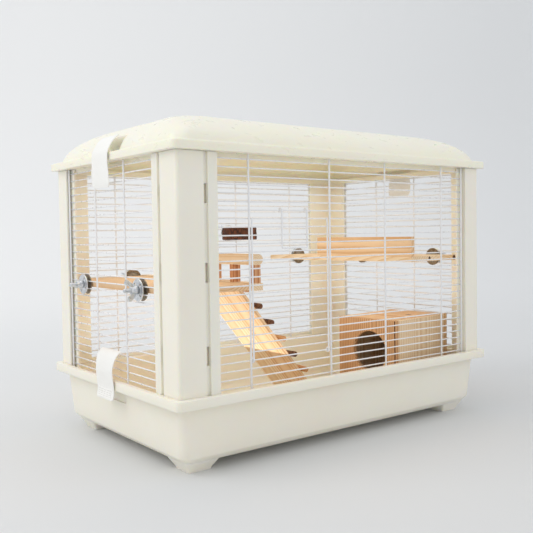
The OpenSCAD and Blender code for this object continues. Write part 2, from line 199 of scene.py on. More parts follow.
def wood(name, light, mid, dark, axis="X", ring=0.0042, pith=(0.013, -0.031), seed=0, rough=0.62, knots=(), wob=0.006):
    """Sawn softwood cut from a solid of growth rings: long lines on the faces, arcs on the ends."""
    m = Mat(name)
    s = m.t.nodes.new("ShaderNodeSeparateXYZ")
    m.put(s.inputs[0], m.co)
    x, y, z = s.outputs
    g, a, b = {"X": (x, y, z), "Y": (y, x, z), "Z": (z, x, y)}[axis]
    c = m.t.nodes.new("ShaderNodeCombineXYZ")
    for i, v in enumerate((g, a, b)):
        m.put(c.inputs[i], v)
    v = m.scaled(c.outputs[0], (1, 1, 1), (seed * 0.37, seed * 0.011, 0))
    slow = m.noise(m.scaled(v, (2.2, 14, 14)), 1.0, 3.0, 0.5)
    fast = m.noise(m.scaled(v, (7, 90, 90)), 1.0, 3.0, 0.55)
    ay = m.math("ADD", m.math("SUBTRACT", a, pith[0]), m.math("MULTIPLY", m.math("SUBTRACT", slow, 0.5), wob * 2))
    bz = m.math("ADD", m.math("SUBTRACT", b, pith[1]), m.math("MULTIPLY", m.math("SUBTRACT", fast, 0.5), wob * 0.35))
    r = m.math("SQRT", m.math("ADD", m.math("MULTIPLY", ay, ay), m.math("MULTIPLY", bz, bz)))
    rings = m.math("FRACT", m.math("MULTIPLY", r, 1.0 / ring))
    col = m.ramp(rings, [(0.0, lin(*light)), (0.45, lin(*mid)), (0.84, lin(*dark)), (0.93, lin(*dark)), (1.0, lin(*light))])
    fibre = m.noise(m.scaled(v, (16, 1300, 1300)), 1.0, 2.0, 0.6)
    col = m.mix(m.ramp(fibre, [(0.35, 0.0), (0.75, 0.42)]), col, lin(*mid))
    blotch = m.noise(m.scaled(v, (6, 26, 26)), 1.0, 3.0)
    col = m.mix(m.ramp(blotch, [(0.42, 0.0), (0.80, 0.40)]), col, lin(*dark))
    pores = m.noise(m.scaled(v, (70, 2200, 2200)), 1.0, 1.0)
    col = m.mix(m.ramp(pores, [(0.70, 0.0), (0.78, 0.35)]), col, lin(*[q * 0.62 for q in dark]))
    for (kx, ky, kz, kr) in knots:
        d = m.t.nodes.new("ShaderNodeVectorMath")
        d.operation = "DISTANCE"
        sc = {"X": (0.6, 1, 1), "Y": (1, 0.6, 1), "Z": (1, 1, 0.6)}[axis]
        m.put(d.inputs[0], m.scaled(m.co, sc))
        d.inputs[1].default_value = (kx * sc[0], ky * sc[1], kz * sc[2])
        kd = m.math("ADD", m.math("DIVIDE", d.outputs["Value"], kr), m.math("MULTIPLY", m.math("SUBTRACT", fast, 0.5), 0.35))
        col = m.mix(m.ramp(kd, [(0.45, 1.0), (0.9, 0.55), (1.5, 0.0)]), col, lin(74, 38, 20))
    m.color(col)
    m.rough(m.ramp(fibre, [(0.3, rough), (0.8, rough + 0.14)]))
    m.normal(m.bump(fibre, 0.25, 0.00025, m.bump(rings, 0.10, 0.0004)))
    m.b.inputs["Specular IOR Level"].default_value = 0.3
    return m.m


def bark(name, low, high, ring_face=None):
    m = Mat(name)
    v = m.scaled(m.co, (1, 1, 0.45))
    cells = m.voronoi(v, 150.0, "DISTANCE_TO_EDGE")
    n = m.noise(v, 95.0, 6.0, 0.7, 1.2)
    c = m.ramp(n, [(0.30, lin(*low)), (0.55, lin(*[(a + b) / 2 for a, b in zip(low, high)])), (0.74, lin(*high))])
    c = m.mix(m.ramp(cells, [(0.0, 0.85), (0.12, 0.0)]), c, lin(*[q * 0.45 for q in low]))
    m.color(c)
    m.rough(m.ramp(n, [(0.3, 0.7), (0.8, 0.95)]))
    m.normal(m.bump(cells, 0.5, 0.0012, m.bump(n, 0.9, 0.0015)))
    return m.m


def log_end(name, cx, cy, rmax):
    """Sawn end of a branch: heartwood, rings round its middle, radial checks, a light saw texture."""
    m = Mat(name)
    v = m.scaled(m.co, (1, 1, 1), (-cx, -cy, 0))
    s = m.t.nodes.new("ShaderNodeSeparateXYZ")
    m.put(s.inputs[0], v)
    w = m.noise(m.co, 30.0, 3.0)
    r = m.math("SQRT", m.math("ADD", m.math("MULTIPLY", s.outputs[0], s.outputs[0]), m.math("MULTIPLY", s.outputs[1], s.outputs[1])))
    rr = m.math("ADD", r, m.math("MULTIPLY", m.math("SUBTRACT", w, 0.5), 0.004))
    rings = m.math("FRACT", m.math("MULTIPLY", rr, 1.0 / 0.0026))
    c = m.ramp(rings, [(0.0, lin(222, 186, 138)), (0.7, lin(205, 160, 108)), (0.9, lin(160, 108, 62)), (1.0, lin(222, 186, 138))])
    heart = m.ramp(m.math("DIVIDE", rr, rmax), [(0.30, 0.75), (0.42, 0.0)])
    c = m.mix(heart, c, lin(158, 104, 62))
    ang = m.math("ARCTAN2", s.outputs[0], s.outputs[1])
    an = m.t.nodes.new("ShaderNodeCombineXYZ")
    m.put(an.inputs[0], m.math("MULTIPLY", ang, 9.0))
    m.put(an.inputs[1], m.math("MULTIPLY", r, 18.0))
    crack = m.noise(an.outputs[0], 1.0, 2.0)
    c = m.mix(m.ramp(crack, [(0.66, 0.0), (0.72, 0.7)]), c, lin(96, 58, 32))
    m.color(c)
    m.rough(0.75)
    m.normal(m.bump(rings, 0.2, 0.0004, m.bump(m.noise(m.scaled(m.co, (60, 900, 60)), 1.0, 2.0), 0.3, 0.0004)))
    return m.m


CREAM = plastic("cream_plastic", (250, 245, 231), (247, 241, 226), 0.36, 0.25, 0.45)
CREAM_ROOF = plastic("cream_plastic_roof", (252, 247, 230), (250, 244, 225), 0.30, 0.40, 0.5)
CLIP = plastic("clip_plastic", (252, 251, 247), (249, 247, 241), 0.34, 0.0, 0.5)
WIRE = powder_coat("white_powder_coat", (246, 247, 249))
ZINC = zinc("zinc_plate", (232, 234, 236), (196, 200, 204), 0.30, 0.92)
# painted shade: the same zinc made darker and browner for the washers inside the panels, which sit in shadow behind the
# outer washers
ZINC_SHADED = zinc("zinc_plate_painted_shade", (164, 152, 134), (104, 94, 82), 0.36, 0.9)
BARK = bark("bark", (44, 20, 12), (168, 96, 56))
TWIG = bark("twig_bark", (84, 48, 28), (150, 100, 62))

PALE = ((252, 233, 206), (246, 221, 186), (230, 194, 148))
WARM = ((248, 219, 183), (240, 205, 163), (219, 172, 122))
DEEP = ((236, 198, 154), (221, 175, 128), (188, 134, 88))


# ------------------------------------------------------------------ mesh building


def finish_mesh(name, bm, mats, body, replaces=(), angle=32, matrix=None, smooth=True):
    bmesh.ops.recalc_face_normals(bm, faces=bm.faces)
    me = bpy.data.meshes.new(name)
    bm.to_mesh(me)
    bm.free()
    return finish_me(name, me, mats, body, replaces, angle, matrix, smooth)


def finish_me(name, me, mats, body, replaces=(), angle=32, matrix=None, smooth=True):
    ob = bpy.data.objects.new(name, me)
    bpy.context.scene.collection.objects.link(ob)
    me.materials.clear()
    for m in (mats if isinstance(mats, (list, tuple)) else [mats]):
        me.materials.append(m)
    if smooth:
        me.polygons.foreach_set("use_smooth", [True] * len(me.polygons))
        me.set_sharp_from_angle(angle=math.radians(angle))
    if matrix is not None:
        ob.matrix_world = matrix
        bpy.context.view_layer.update()
    if replaces:
        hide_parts(*replaces)
    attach(ob, body)
    return ob


def rounded(bm_a, cutters, mode="DIFFERENCE"):
    """Exact boolean of one bmesh with others, as a new mesh; the helpers are removed."""
    def tmp(bm, n):
        bmesh.ops.recalc_face_normals(bm, faces=bm.faces)
        me = bpy.data.meshes.new(n)
        bm.to_mesh(me)
        bm.free()
        o = bpy.data.objects.new(n, me)
        bpy.context.scene.collection.objects.link(o)
        return o
    a = tmp(bm_a, "tmp_a")
    cut = [tmp(c, "tmp_c") for c in cutters]
    for c in cut:
        md = a.modifiers.new("b", "BOOLEAN")
        md.operation = mode
        md.solver = "EXACT"
        md.object = c
    bpy.context.view_layer.update()
    dg = bpy.context.evaluated_depsgraph_get()
    me = bpy.data.meshes.new_from_object(a.evaluated_get(dg))
    for o in [a] + cut:
        d = o.data
        bpy.data.objects.remove(o)
        bpy.data.meshes.remove(d)
    return me


def rr_ring(hx, hy, r, z, nc=12, ns=8):
    """Points of a rounded rectangle, in order, always the same number."""
    pts = []
    r = max(r, 0.05)
    corners = [(hx - r, hy - r, 0), (-hx + r, hy - r, 90), (-hx + r, -hy + r, 180), (hx - r, -hy + r, 270)]
    for i, (cx, cy, a0) in enumerate(corners):
        for k in range(nc + 1):
            a = math.radians(a0 + 90.0 * k / nc)
            pts.append((cx + r * math.cos(a), cy + r * math.sin(a), z))
        nx, ny, na = corners[(i + 1) % 4]
        a = math.radians(a0 + 90)
        p0 = (cx + r * math.cos(a), cy + r * math.sin(a))
        a = math.radians(na)
        p1 = (nx + r * math.cos(a), ny + r * math.sin(a))
        for k in range(1, ns):
            t = k / ns
            pts.append((p0[0] + (p1[0] - p0[0]) * t, p0[1] + (p1[1] - p0[1]) * t, z))
    return pts


def loft(bm, rings, cap0=True, cap1=True, place=V):
    prev = None
    first = None
    for ring in rings:
        vs = [bm.verts.new(place(*p)) for p in ring]
        if prev:
            n = len(vs)
            for i in range(n):
                bm.faces.new((prev[i], prev[(i + 1) % n], vs[(i + 1) % n], vs[i]))
        else:
            first = vs
        prev = vs
    if cap0:
        bm.faces.new(list(reversed(first)))
    if cap1:
        bm.faces.new(prev)
    return bm


def rr_loft(bm, rows_, place=V, nc=12, ns=8, cap0=True, cap1=True):
    return loft(bm, [rr_ring(*q, nc=nc, ns=ns) for q in rows_], cap0, cap1, place=place)


def raw_box(x0, x1, y0, y1, z0, z1, place=V):
    bm = bmesh.new()
    vs = [bm.verts.new(place(x, y, z)) for x in (x0, x1) for y in (y0, y1) for z in (z0, z1)]
    for f in ((0, 1, 3, 2), (4, 6, 7, 5), (0, 4, 5, 1), (2, 3, 7, 6), (0, 2, 6, 4), (1, 5, 7, 3)):
        bm.faces.new([vs[i] for i in f])
    return bm


def soft_edges(bm, w, seg=3, angle=20):
    es = [e for e in bm.edges if len(e.link_faces) == 2 and e.calc_face_angle(0) > math.radians(angle)]
    bmesh.ops.bevel(bm, geom=es, offset=w * MM, segments=seg, profile=0.5, affect="EDGES", clamp_overlap=True)
    return bm


def local(x, y, z):
    return Vector((x * MM, y * MM, z * MM))


def board(name, x0, x1, y0, y1, z0, z1, mat, body, replaces=(), bevel=0.7, matrix=None, warp=0.0, seed=1):
    """A sawn board with eased edges; warp is not used."""
    place = local if matrix is not None else V
    bm = raw_box(x0, x1, y0, y1, z0, z1, place)
    soft_edges(bm, bevel, 3)
    return finish_mesh(name, bm, mat, body, replaces, 40, matrix)


def tube(bm, pts, r, n=10, ends=True, rfun=None):
    """A round tube along a polyline, with domed ends."""
    pts = [Vector(p) for p in pts]
    tang = []
    for i in range(len(pts)):
        a = pts[i] - pts[i - 1] if i else pts[1] - pts[0]
        b = pts[i + 1] - pts[i] if i < len(pts) - 1 else a
        tang.append((a.normalized() + b.normalized()).normalized())
    up = Vector((0, 0, 1)) if abs(tang[0].z) < 0.9 else Vector((1, 0, 0))
    u = tang[0].cross(up).normalized()
    rings = []
    stations = []
    if ends:
        stations += [(pts[0] - tang[0] * r * 0.55, tang[0], 0.55), (pts[0] - tang[0] * r * 0.2, tang[0], 0.9)]
    for i, (p, t) in enumerate(zip(pts, tang)):
        stations.append((p, t, 1.0 if rfun is None else rfun(i)))
    if ends:
        stations += [(pts[-1] + tang[-1] * r * 0.2, tang[-1], 0.9), (pts[-1] + tang[-1] * r * 0.55, tang[-1], 0.55)]
    for p, t, s in stations:
        u = (u - t * u.dot(t)).normalized()
        w = t.cross(u)
        rings.append([bm.verts.new(p + (u * math.cos(2 * math.pi * k / n) + w * math.sin(2 * math.pi * k / n)) * r * s) for k in range(n)])
    for a, b in zip(rings, rings[1:]):
        for k in range(n):
            bm.faces.new((a[k], a[(k + 1) % n], b[(k + 1) % n], b[k]))
    bm.faces.new(list(reversed(rings[0])))
    bm.faces.new(rings[-1])


def bend_path(pts, rad, seg=5):
    """A polyline with its corners turned into arcs."""
    pts = [Vector(p) for p in pts]
    out = [pts[0]]
    for i in range(1, len(pts) - 1):
        a, b, c = pts[i - 1], pts[i], pts[i + 1]
        d1, d2 = (a - b), (c - b)
        ang = d1.angle(d2)
        if ang > math.radians(178):
            out.append(b)
            continue
        cut = min(rad / math.tan(ang / 2), d1.length * 0.49, d2.length * 0.49)
        p, q = b + d1.normalized() * cut, b + d2.normalized() * cut
        for k in range(seg + 1):
            t = k / seg
            out.append(p * (1 - t) ** 2 + b * 2 * t * (1 - t) + q * t * t)
    out.append(pts[-1])
    return out


def lathe(bm, prof, n=40, mat=Matrix.Identity(4)):
    """Turns (radius, height) in mm about Z. A profile that closes on itself makes a ring."""
    rings = []
    for r, z in prof:
        rings.append([bm.verts.new(mat @ Vector((r * MM * math.cos(2 * math.pi * k / n), r * MM * math.sin(2 * math.pi * k / n), z * MM))) for k in range(n)])
    closed = prof[0] == prof[-1]
    if closed:
        for v in rings[-1]:
            bm.verts.remove(v)
        rings[-1] = rings[0]
    for a, b in zip(rings, rings[1:]):
        for k in range(n):
            bm.faces.new((a[k], a[(k + 1) % n], b[(k + 1) % n], b[k]))
    if not closed:
        bm.faces.new(list(reversed(rings[0])))
        bm.faces.new(rings[-1])


# ------------------------------------------------------------------ tray

tray_rows = [
    (262, 153, 6, 14.0), (268.5, 159.5, 8, 14.0), (270.8, 161.8, 9.5, 14.5), (272.6, 163.6, 10.5, 15.6),
    (275.0, 166.0, 11.5, 17.6), (277.6, 168.6, 13, 20.0), (279.6, 170.6, 14.5, 22.2), (280.3, 171.3, 15, 23.2),
    (280.5, 171.5, 15, 23.7), (281.3, 172.3, 15, 23.9), (281.5, 172.5, 15, 24.4),
    (282.6, 173.6, 14.6, 40.0), (284.3, 175.3, 14, 62.0), (286.0, 177.0, 13.4, 84.0), (286.8, 177.8, 13, 93.6),
    (287.4, 178.4, 12.6, 94.2), (288.4, 179.4, 12, 94.3), (296.4, 187.4, 6.4, 94.3), (297.2, 188.2, 5.8, 94.0),
    (297.4, 188.4, 5.4, 93.2), (297.5, 188.5, 5.5, 90.3), (297.9, 188.9, 5.9, 89.7), (298.5, 189.5, 6.5, 89.5),
    (299.2, 190.2, 7.2, 89.6), (299.8, 190.8, 7.8, 90.0), (300, 191, 8, 90.6), (300, 191, 8, 96.0), (300, 191, 8, 101.2),
    (299.75, 190.75, 7.8, 102.0), (299.1, 190.1, 7.3, 102.45), (298.4, 189.4, 6.8, 102.5),
    (292.6, 183.6, 6.4, 102.5), (291.9, 182.9, 5.9, 102.35), (291.5, 182.5, 5.5, 101.9), (291.4, 182.4, 5.4, 101.3),
    (291.4, 182.4, 5.4, 98.0), (291.2, 182.2, 5.2, 97.6), (290.7, 181.7, 5.0, 97.5),
    (283.0, 174.0, 10.4, 97.5), (282.0, 173.0, 10.3, 97.4), (281.6, 172.6, 10.1, 97.0), (281.5, 172.5, 10, 96.3),
    (279.5, 170.5, 10.6, 74.0), (277.3, 168.3, 11.3, 48.0), (275.7, 166.7, 12, 29.0), (275.2, 166.2, 12, 26.0),
    (273.6, 164.6, 11, 22.5), (271.2, 162.2, 9.6, 19.2), (268.4, 159.4, 8.4, 17.2), (266, 157, 7.5, 16.7), (260, 150, 7, 16.7),
]
bm = rr_loft(bmesh.new(), tray_rows)
cutters = []
for s in (-1, 1):
    c = bmesh.new()
    rr_loft(c, [(26.6, 9.2, 3, 0), (27, 9.5, 3.4, 0.6), (27, 9.5, 3.4, 14)], place=lambda a, b, h, s=s: V(s * (283 + h), 0.5 + a, 79.5 + b), nc=6, ns=1)
    cutters.append(c)
me = rounded(bm, cutters)
bm = bmesh.new()
bm.from_mesh(me)
bpy.data.meshes.remove(me)
for sx in (-1, 1):
    for sy in (-1, 1):
        cx, cy = sx * 247, sy * 138
        rows_ = [(14, 14, 1.5, 0.0), (16.2, 16.2, 2, 0.0), (16.8, 16.8, 2.3, 0.25), (17, 17, 2.5, 0.9), (17.8, 17.8, 2.6, 3.4), (18.4, 18.4, 2.8, 4.4),
                 (21, 21, 3.2, 8.4), (23.6, 23.6, 3.8, 12.2), (24.8, 24.8, 4, 14.2), (24.8, 24.8, 4, 17.0)]
        rr_loft(bm, rows_, place=lambda x, y, z, cx=cx, cy=cy: V(cx + x, cy + y, z), nc=6, ns=1)
finish_mesh("tray_moulding", bm, CREAM, "tray", ["base_tray"], 38)

# ------------------------------------------------------------------ posts keep their CAD shape, with eased edges

for n in ("front_left_post", "front_right_post", "back_left_post", "back_right_post"):
    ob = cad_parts[n]
    ob.data.materials.clear()
    ob.data.materials.append(CREAM)
    w = ob.modifiers.new("weld", "WELD")
    w.merge_threshold = 1e-6
    b = ob.modifiers.new("ease", "BEVEL")
    b.width = 0.0007
    b.segments = 3
    b.limit_method = "ANGLE"
    b.angle_limit = math.radians(30)
    b.harden_normals = True

# ------------------------------------------------------------------ wires


def panel(name, rows_, bars, node, extra=None):
    bm = bmesh.new()
    for p, q in rows_:
        tube(bm, [p, q], 0.95 * MM, 10)
    for p, q in bars:
        tube(bm, [p, q], 1.35 * MM, 12)
    if extra:
        extra(bm)
    return finish_mesh(name, bm, WIRE, "cage_frame", [node], 50)


def bars_x(xs, y):
    return [(V(x, y, 98.3), V(x, y, 404.0)) for x in xs]


def bars_y(ys, x):
    return [(V(x, y, 98.3), V(x, y, 404.0)) for y in ys]


def sprung(a0, a1, at, k, f):
    dz = 257.3 - 3 - 0.95 - 0.4 - row(k)
    path = [f(a0, row(k))]
    for c in at:
        path += [f(c - 13, row(k)), f(c - 6, row(k) + dz * 0.93), f(c, row(k) + dz), f(c + 6, row(k) + dz * 0.93), f(c + 13, row(k))]
    path.append(f(a1, row(k)))
    return bend_path(path, 4 * MM, 4)


rows_f = []
for k in range(28):
    if 3 < k < 21:
        rows_f += [(V(-243, -RY, row(k)), V(-180.2, -RY, row(k))), (V(-41.0, -RY, row(k)), V(255.3, -RY, row(k)))]
    else:
        rows_f.append((V(-243, -RY, row(k)), V(255.3, -RY, row(k))))
panel("front_wires", rows_f, bars_x([-238.5, -180.8, -40.3, 71.1, 200.5, 251.4], -BY), "front_panel")
panel("left_wires", [(V(-RX, -134, row(k)), V(-RX, 149.3, row(k))) for k in range(28)], bars_y([-129.7, -38, 52.6, 146.0], -BX), "left_panel")
panel("back_wires", [(V(-255.3, RY, row(k)), V(243, RY, row(k))) for k in range(28) if k != 14], bars_x([-251.4, -194.4, -73.2, 50, 178.7, 238.5], BY), "back_panel",
      lambda bm: tube(bm, sprung(-255.3, 243, [198.7], 14, lambda a, z: V(a, RY, z)), 0.95 * MM, 10))
panel("right_wires", [(V(RX, -149.3, row(k)), V(RX, 142.3, row(k))) for k in range(28) if k != 14], bars_y([-139.1, -46.9, 46.4, 129.7], BX), "right_panel",
      lambda bm: tube(bm, sprung(-149.3, 142.3, [-92.6, 82], 14, lambda a, z: V(RX, a, z)), 0.95 * MM, 10))

# door: rows, and stiles that end in an eye round the wire below
bm = bmesh.new()
for k in range(4, 21):
    tube(bm, [V(-177.1, -RY, row(k)), V(-44.4, -RY, row(k))], 0.95 * MM, 10)
for x in (-176.5, -45.0):
    top = [V(x, -BY, row(20) + 0.6)]
    if x == -45.0:
        top = [V(x - 1.1, -BY, row(20) + 0.8), V(x - 0.2, -BY, row(20) - 5.5), V(x, -BY, row(20) - 12)]
    path = top + [V(x, -BY, 143.0)]
    for a in range(175, 505, 15):
        path.append(V(x, -RY + 2.5 * math.cos(math.radians(a)), 137.38 + 2.5 * math.sin(math.radians(a))))
    tube(bm, path, 1.2 * MM, 12)
finish_mesh("door_wires", bm, WIRE, "front_door", ["front_door"], 50)

# latch: one bent wire that hooks over the wire above the door
y0, y1 = -BY - 0.1, -RY + 3.4
zt = row(21) + 2.8
bm = bmesh.new()
path = [V(-126.7, y1, row(21) - 1.8), V(-126.7, y1, zt), V(-126.7, y0, zt), V(-126.7, y0, 282.5), V(-82.9, y0, 282.5), V(-82.9, y0, zt), V(-82.9, y1, zt), V(-82.9, y1, row(21) - 1.8)]
tube(bm, bend_path(path, 2.0 * MM, 6), 1.1 * MM, 12)
finish_mesh("latch_wire", bm, WIRE, "door_latch", ["door_latch"], 50)

# ------------------------------------------------------------------ roof


def fin(t):
    return 1 - max(math.cos(t), 0.0) ** 1.13


def fup(t):
    return math.sin(t) ** 1.13


def dome(off, top, z0=415.3, n=26, t0=0.0):
    out = []
    for i in range(n + 1):
        t = t0 + (math.pi / 2 - t0) * i / n
        a = fin(t)
        out.append((289.7 - off - 68.7 * a, 180.7 - off - 92.5 * a, 20 - off + 14 * a + 8 * a * a, z0 + top * fup(t)))
    return out


outer_rows = [(270, 160, 6, 404.8), (298.9, 189.9, 7, 404.8), (299.6, 190.6, 7.6, 404.95), (300, 191, 8, 405.4), (300, 191, 8, 410.0), (300, 191, 8, 414.6),
              (299.7, 190.7, 7.8, 415.5), (299.0, 190.0, 7.4, 416.1), (298.0, 189.0, 7.0, 416.3), (292.2, 183.2, 17, 416.3), (290.8, 181.8, 18.6, 416.55), (290.1, 181.1, 19.4, 417.2)]
d = [q for q in dome(0, 46.7) if q[3] > 418.0]
bm = rr_loft(bmesh.new(), outer_rows + d, nc=16, ns=12)
inner = bmesh.new()
rr_loft(inner, [(285.7, 176.7, 10, 403), (285.7, 176.7, 10, 413.5), (286.6, 177.6, 17.5, 415.2)] + [q for q in dome(2.5, 44.2)[1:]], nc=16, ns=12)
pockets, guards = [], []
for s in (-1, 1):
    c = bmesh.new()
    rr_loft(c, [(35, 13.6, 5, 0), (35, 13.6, 5, 24)], place=lambda a, b, h, s=s: V(s * (276.5 + h), 0.5 + a, 430.9 + b), nc=6, ns=1)
    pockets.append(c)
    guards.append(raw_box(*((272.5, 320) if s > 0 else (-320, -272.5)), -37.5, 38.5, 414, 470))
inner_me = rounded(inner, guards)
inner2 = bmesh.new()
inner2.from_mesh(inner_me)
bpy.data.meshes.remove(inner_me)
me = rounded(bm, [inner2] + pockets)
skirt = rr_loft(bmesh.new(), [(280.2, 171.2, 4, 404.4), (280.1, 171.1, 4, 402.0), (280.1, 171.1, 4, 399.8), (279.9, 170.9, 3.8, 399.45), (279.5, 170.5, 3.6, 399.4),
                              (278.2, 169.2, 2.6, 399.4), (277.8, 168.8, 2.3, 399.5), (277.7, 168.7, 2.2, 399.9), (277.7, 168.7, 2.2, 404.8), (277.7, 168.7, 2.2, 407.8), (286.2, 177.2, 8, 407.8), (286.2, 177.2, 8, 404.85), (280.2, 171.2, 4, 404.85)], cap0=False, cap1=False)
skirt.verts.ensure_lookup_table()
n_r = len(skirt.verts) // 13
for i in range(n_r):
    j = (i + 1) % n_r
    skirt.faces.new((skirt.verts[12 * n_r + i], skirt.verts[12 * n_r + j], skirt.verts[j], skirt.verts[i]))
bmesh.ops.recalc_face_normals(skirt, faces=skirt.faces)
both = bmesh.new()
both.from_mesh(me)
sk = bpy.data.meshes.new("t")
skirt.to_mesh(sk)
skirt.free()
both.from_mesh(sk)
bpy.data.meshes.remove(sk)
both.to_mesh(me)
both.free()
finish_me("roof_moulding", me, CREAM_ROOF, "roof", ["roof_cover"], 38)

# ------------------------------------------------------------------ clips


def spline(pts, n):
    """Catmull-Rom through 2-D points."""
    out = []
    m = len(pts)
    for i in range(m - 1):
        p0, p1, p2, p3 = pts[max(i - 1, 0)], pts[i], pts[i + 1], pts[min(i + 2, m - 1)]
        for k in range(n):
            t = k / n
            out.append(tuple(0.5 * ((2 * b) + (c - a) * t + (2 * a - 5 * b + 4 * c - d_) * t * t + (-a + 3 * b - 3 * c + d_) * t ** 3)
                             for a, b, c, d_ in zip(p0, p1, p2, p3)))
    out.append(pts[-1])
    return out


def strap(bm, mid, thick, half, mirror, n_y=14):
    """A strap that follows a side profile (u, z), with half widths given by half(z) as (low y, high y)."""
    path = spline(mid, 5)
    rings = []
    m = len(path)
    for i, (u, z) in enumerate(path):
        a, b = path[max(i - 1, 0)], path[min(i + 1, m - 1)]
        dx, dz = b[0] - a[0], b[1] - a[1]
        ln = math.hypot(dx, dz)
        nx, nz = dz / ln, -dx / ln
        lo, hi = half(z)
        e = min(i, m - 1 - i)
        th = thick / 2 * (0.55 if e == 0 else 1.0)
        ring = []
        ys = [lo + (hi - lo) * k / n_y for k in range(n_y + 1)]
        for k, y in enumerate(ys):
            f = 0.45 if k in (0, n_y) else 1.0
            ring.append((u + nx * th * f, y, z + nz * th * f))
        for k, y in reversed(list(enumerate(ys))):
            f = 0.45 if k in (0, n_y) else 1.0
            ring.append((u - nx * th * f, y, z - nz * th * f))
        rings.append(ring)
    loft(bm, rings, place=lambda u, y, z: V(mirror * u, 0 + y, z))


def round_end(z, z_end, r, direction):
    d_ = max(0.0, min(r, (z - z_end) * direction))
    return r - math.sqrt(max(0.0, r * r - (r - d_) ** 2))


def tray_half(z):
    c = round_end(z, 75.5, 6, 1)
    t = 0.0 if z < 120 else (z - 120) / 24.5
    return (-25 - 4 * t + c, 26 + 4 * t - c)


def roof_half(z):
    c = round_end(z, 367.7, 9, 1)
    if z > 400:
        return (-23.0, 26.0)
    t = max(0.0, min(1.0, (400 - z) / 10))
    t = t * t * (3 - 2 * t)
    return (-23 - 2 * t + c, 26 + 2 * t - c)


tray_mid = [(304.6, 75.9), (304.1, 77.4), (303.2, 80.2), (302.2, 86), (302.0, 92), (302.8, 100), (303.9, 109.5), (304.3, 116), (302.9, 126), (299.7, 135.4), (295.5, 140.6), (291.1, 143.3)]
roof_mid = [(300.7, 368.4), (300.9, 370), (301.9, 375), (302.9, 389), (303.0, 400), (302.9, 413), (301.4, 419.2), (295.2, 430.4), (289.4, 436.7), (284.2, 440.0)]
for side, s in (("left", -1), ("right", 1)):
    bm = bmesh.new()
    strap(bm, tray_mid, 2.0, tray_half, s)
    # finger ribs, moulded on the tab
    for z, u in ((78.0, 304.8), (80.8, 304.0), (83.6, 303.5), (86.4, 303.1)):
        tube(bm, [V(s * u, -17.5, z), V(s * u, 18.5, z)], 0.85 * MM, 8)
    # pivot barrel behind the strap
    tube(bm, [V(s * 302.2, -20, 89.5), V(s * 302.2, 21, 89.5)], 1.5 * MM, 14)
    finish_mesh(side + "_tray_clip_moulding", bm, CLIP, side + "_tray_clip", [side + "_tray_clip"], 55)
    bm = bmesh.new()
    strap(bm, roof_mid, 2.2, roof_half, s)
    tube(bm, [V(s * 302.2, -19, 416.6), V(s * 302.2, 21, 416.6)], 1.4 * MM, 14)
    finish_mesh(side + "_roof_clip_moulding", bm, CLIP, side + "_roof_clip", [side + "_roof_clip"], 55)

# ------------------------------------------------------------------ balcony

W_floor = wood("pine_balcony", *WARM, axis="Y", pith=(-0.20, 0.262), ring=0.0038, seed=1, knots=((-0.21, -0.06, 0.2348, 0.006),))
W_ledge = wood("pine_ledge", *PALE, axis="Y", pith=(-0.16, 0.215), ring=0.0030, seed=2)
W_posts = wood("pine_posts", (232, 184, 140), (216, 158, 112), (182, 112, 70), axis="Z", pith=(-0.17, -0.13), ring=0.0045, seed=3)
W_rail = wood("pine_rail", *PALE, axis="Y", pith=(-0.150, 0.2665), ring=0.0024, seed=4, wob=0.002)
W_shelf = wood("pine_shelf", *PALE, axis="Y", pith=(0.24, 0.215), ring=0.0042, seed=5,
               knots=((0.268, -0.1556, 0.2572, 0.0045), (0.205, -0.1556, 0.258, 0.003), (0.20, 0.05, 0.2613, 0.007)))
W_fence = wood("pine_fence", *WARM, axis="X", pith=(0.02, 0.035), ring=0.0060, seed=6, wob=0.010)
W_ladder = wood("pine_ladder", *PALE, axis="X", pith=(0.01, -0.04), ring=0.0040, seed=7)
W_rung = wood("pine_rung", (226, 178, 126), (210, 156, 104), (172, 112, 66), axis="Y", pith=(0.0, 0.0), ring=0.0022, seed=8, wob=0.002)
W_hleft = wood("house_left_wood", *DEEP, axis="Z", pith=(-0.012, 0.045), ring=0.0034, seed=9)
W_hfront = wood("house_front_wood", *PALE, axis="Z", pith=(0.075, -0.03), ring=0.0040, seed=10)
W_hright = wood("house_right_wood", *WARM, axis="Z", pith=(0.12, 0.03), ring=0.0036, seed=11)
W_hback = wood("house_back_wood", *PALE, axis="Z", pith=(0.07, 0.15), ring=0.0040, seed=12)
W_hroof = wood("house_roof_wood", *WARM, axis="Y", pith=(0.06, 0.10), ring=0.0050, seed=13, knots=((0.09, 0.04, 0.144, 0.004),))
# painted shade: a dark copy of the pine that lines the slit by the door wall's front corner, so the slit reads as a
# dark seam
W_slit_shade = wood("slit_painted_shade", (120, 62, 34), (98, 46, 26), (66, 28, 16), axis="Y", pith=(-0.2, 0.25), ring=0.0030, seed=14)

board("balcony_floor_board", -280.3, -156.9, -150.6, 169.4, 226.6, 234.6, W_floor, "cage_frame", ["balcony_floor"], 0.8)
board("balcony_ledge_strip", -155.3, -139.1, -150.6, 169.4, 225.4, 235.4, W_ledge, "cage_frame", ["balcony_ledge"], 0.8)
bm = bmesh.new()
for y in (-150.6, -103.6, -56.5):
    b2 = soft_edges(raw_box(-155.3, -142.8, y, y + 8, 235.4, 260.0), 0.5, 2)
    t_me = bpy.data.meshes.new("t")
    b2.to_mesh(t_me)
    b2.free()
    bm.from_mesh(t_me)
    bpy.data.meshes.remove(t_me)
finish_mesh("balcony_balusters", bm, W_posts, "cage_frame", ["balcony_posts"], 40)
bm = bmesh.new()
prof = [(-155.3, 260.0), (-146.0, 260.0)] + [(-146 + 7.4 * math.cos(math.radians(a)), 267.4 + 7.4 * math.sin(math.radians(a))) for a in range(-80, 81, 10)] + [(-146.0, 274.8), (-155.3, 274.8)]
loft(bm, [[(x, y, z) for x, z in prof] for y in (-150.6, -48.5)])
soft_edges(bm, 0.7, 3, 45)
finish_mesh("balcony_handrail", bm, W_rail, "cage_frame", ["balcony_rail"], 35)

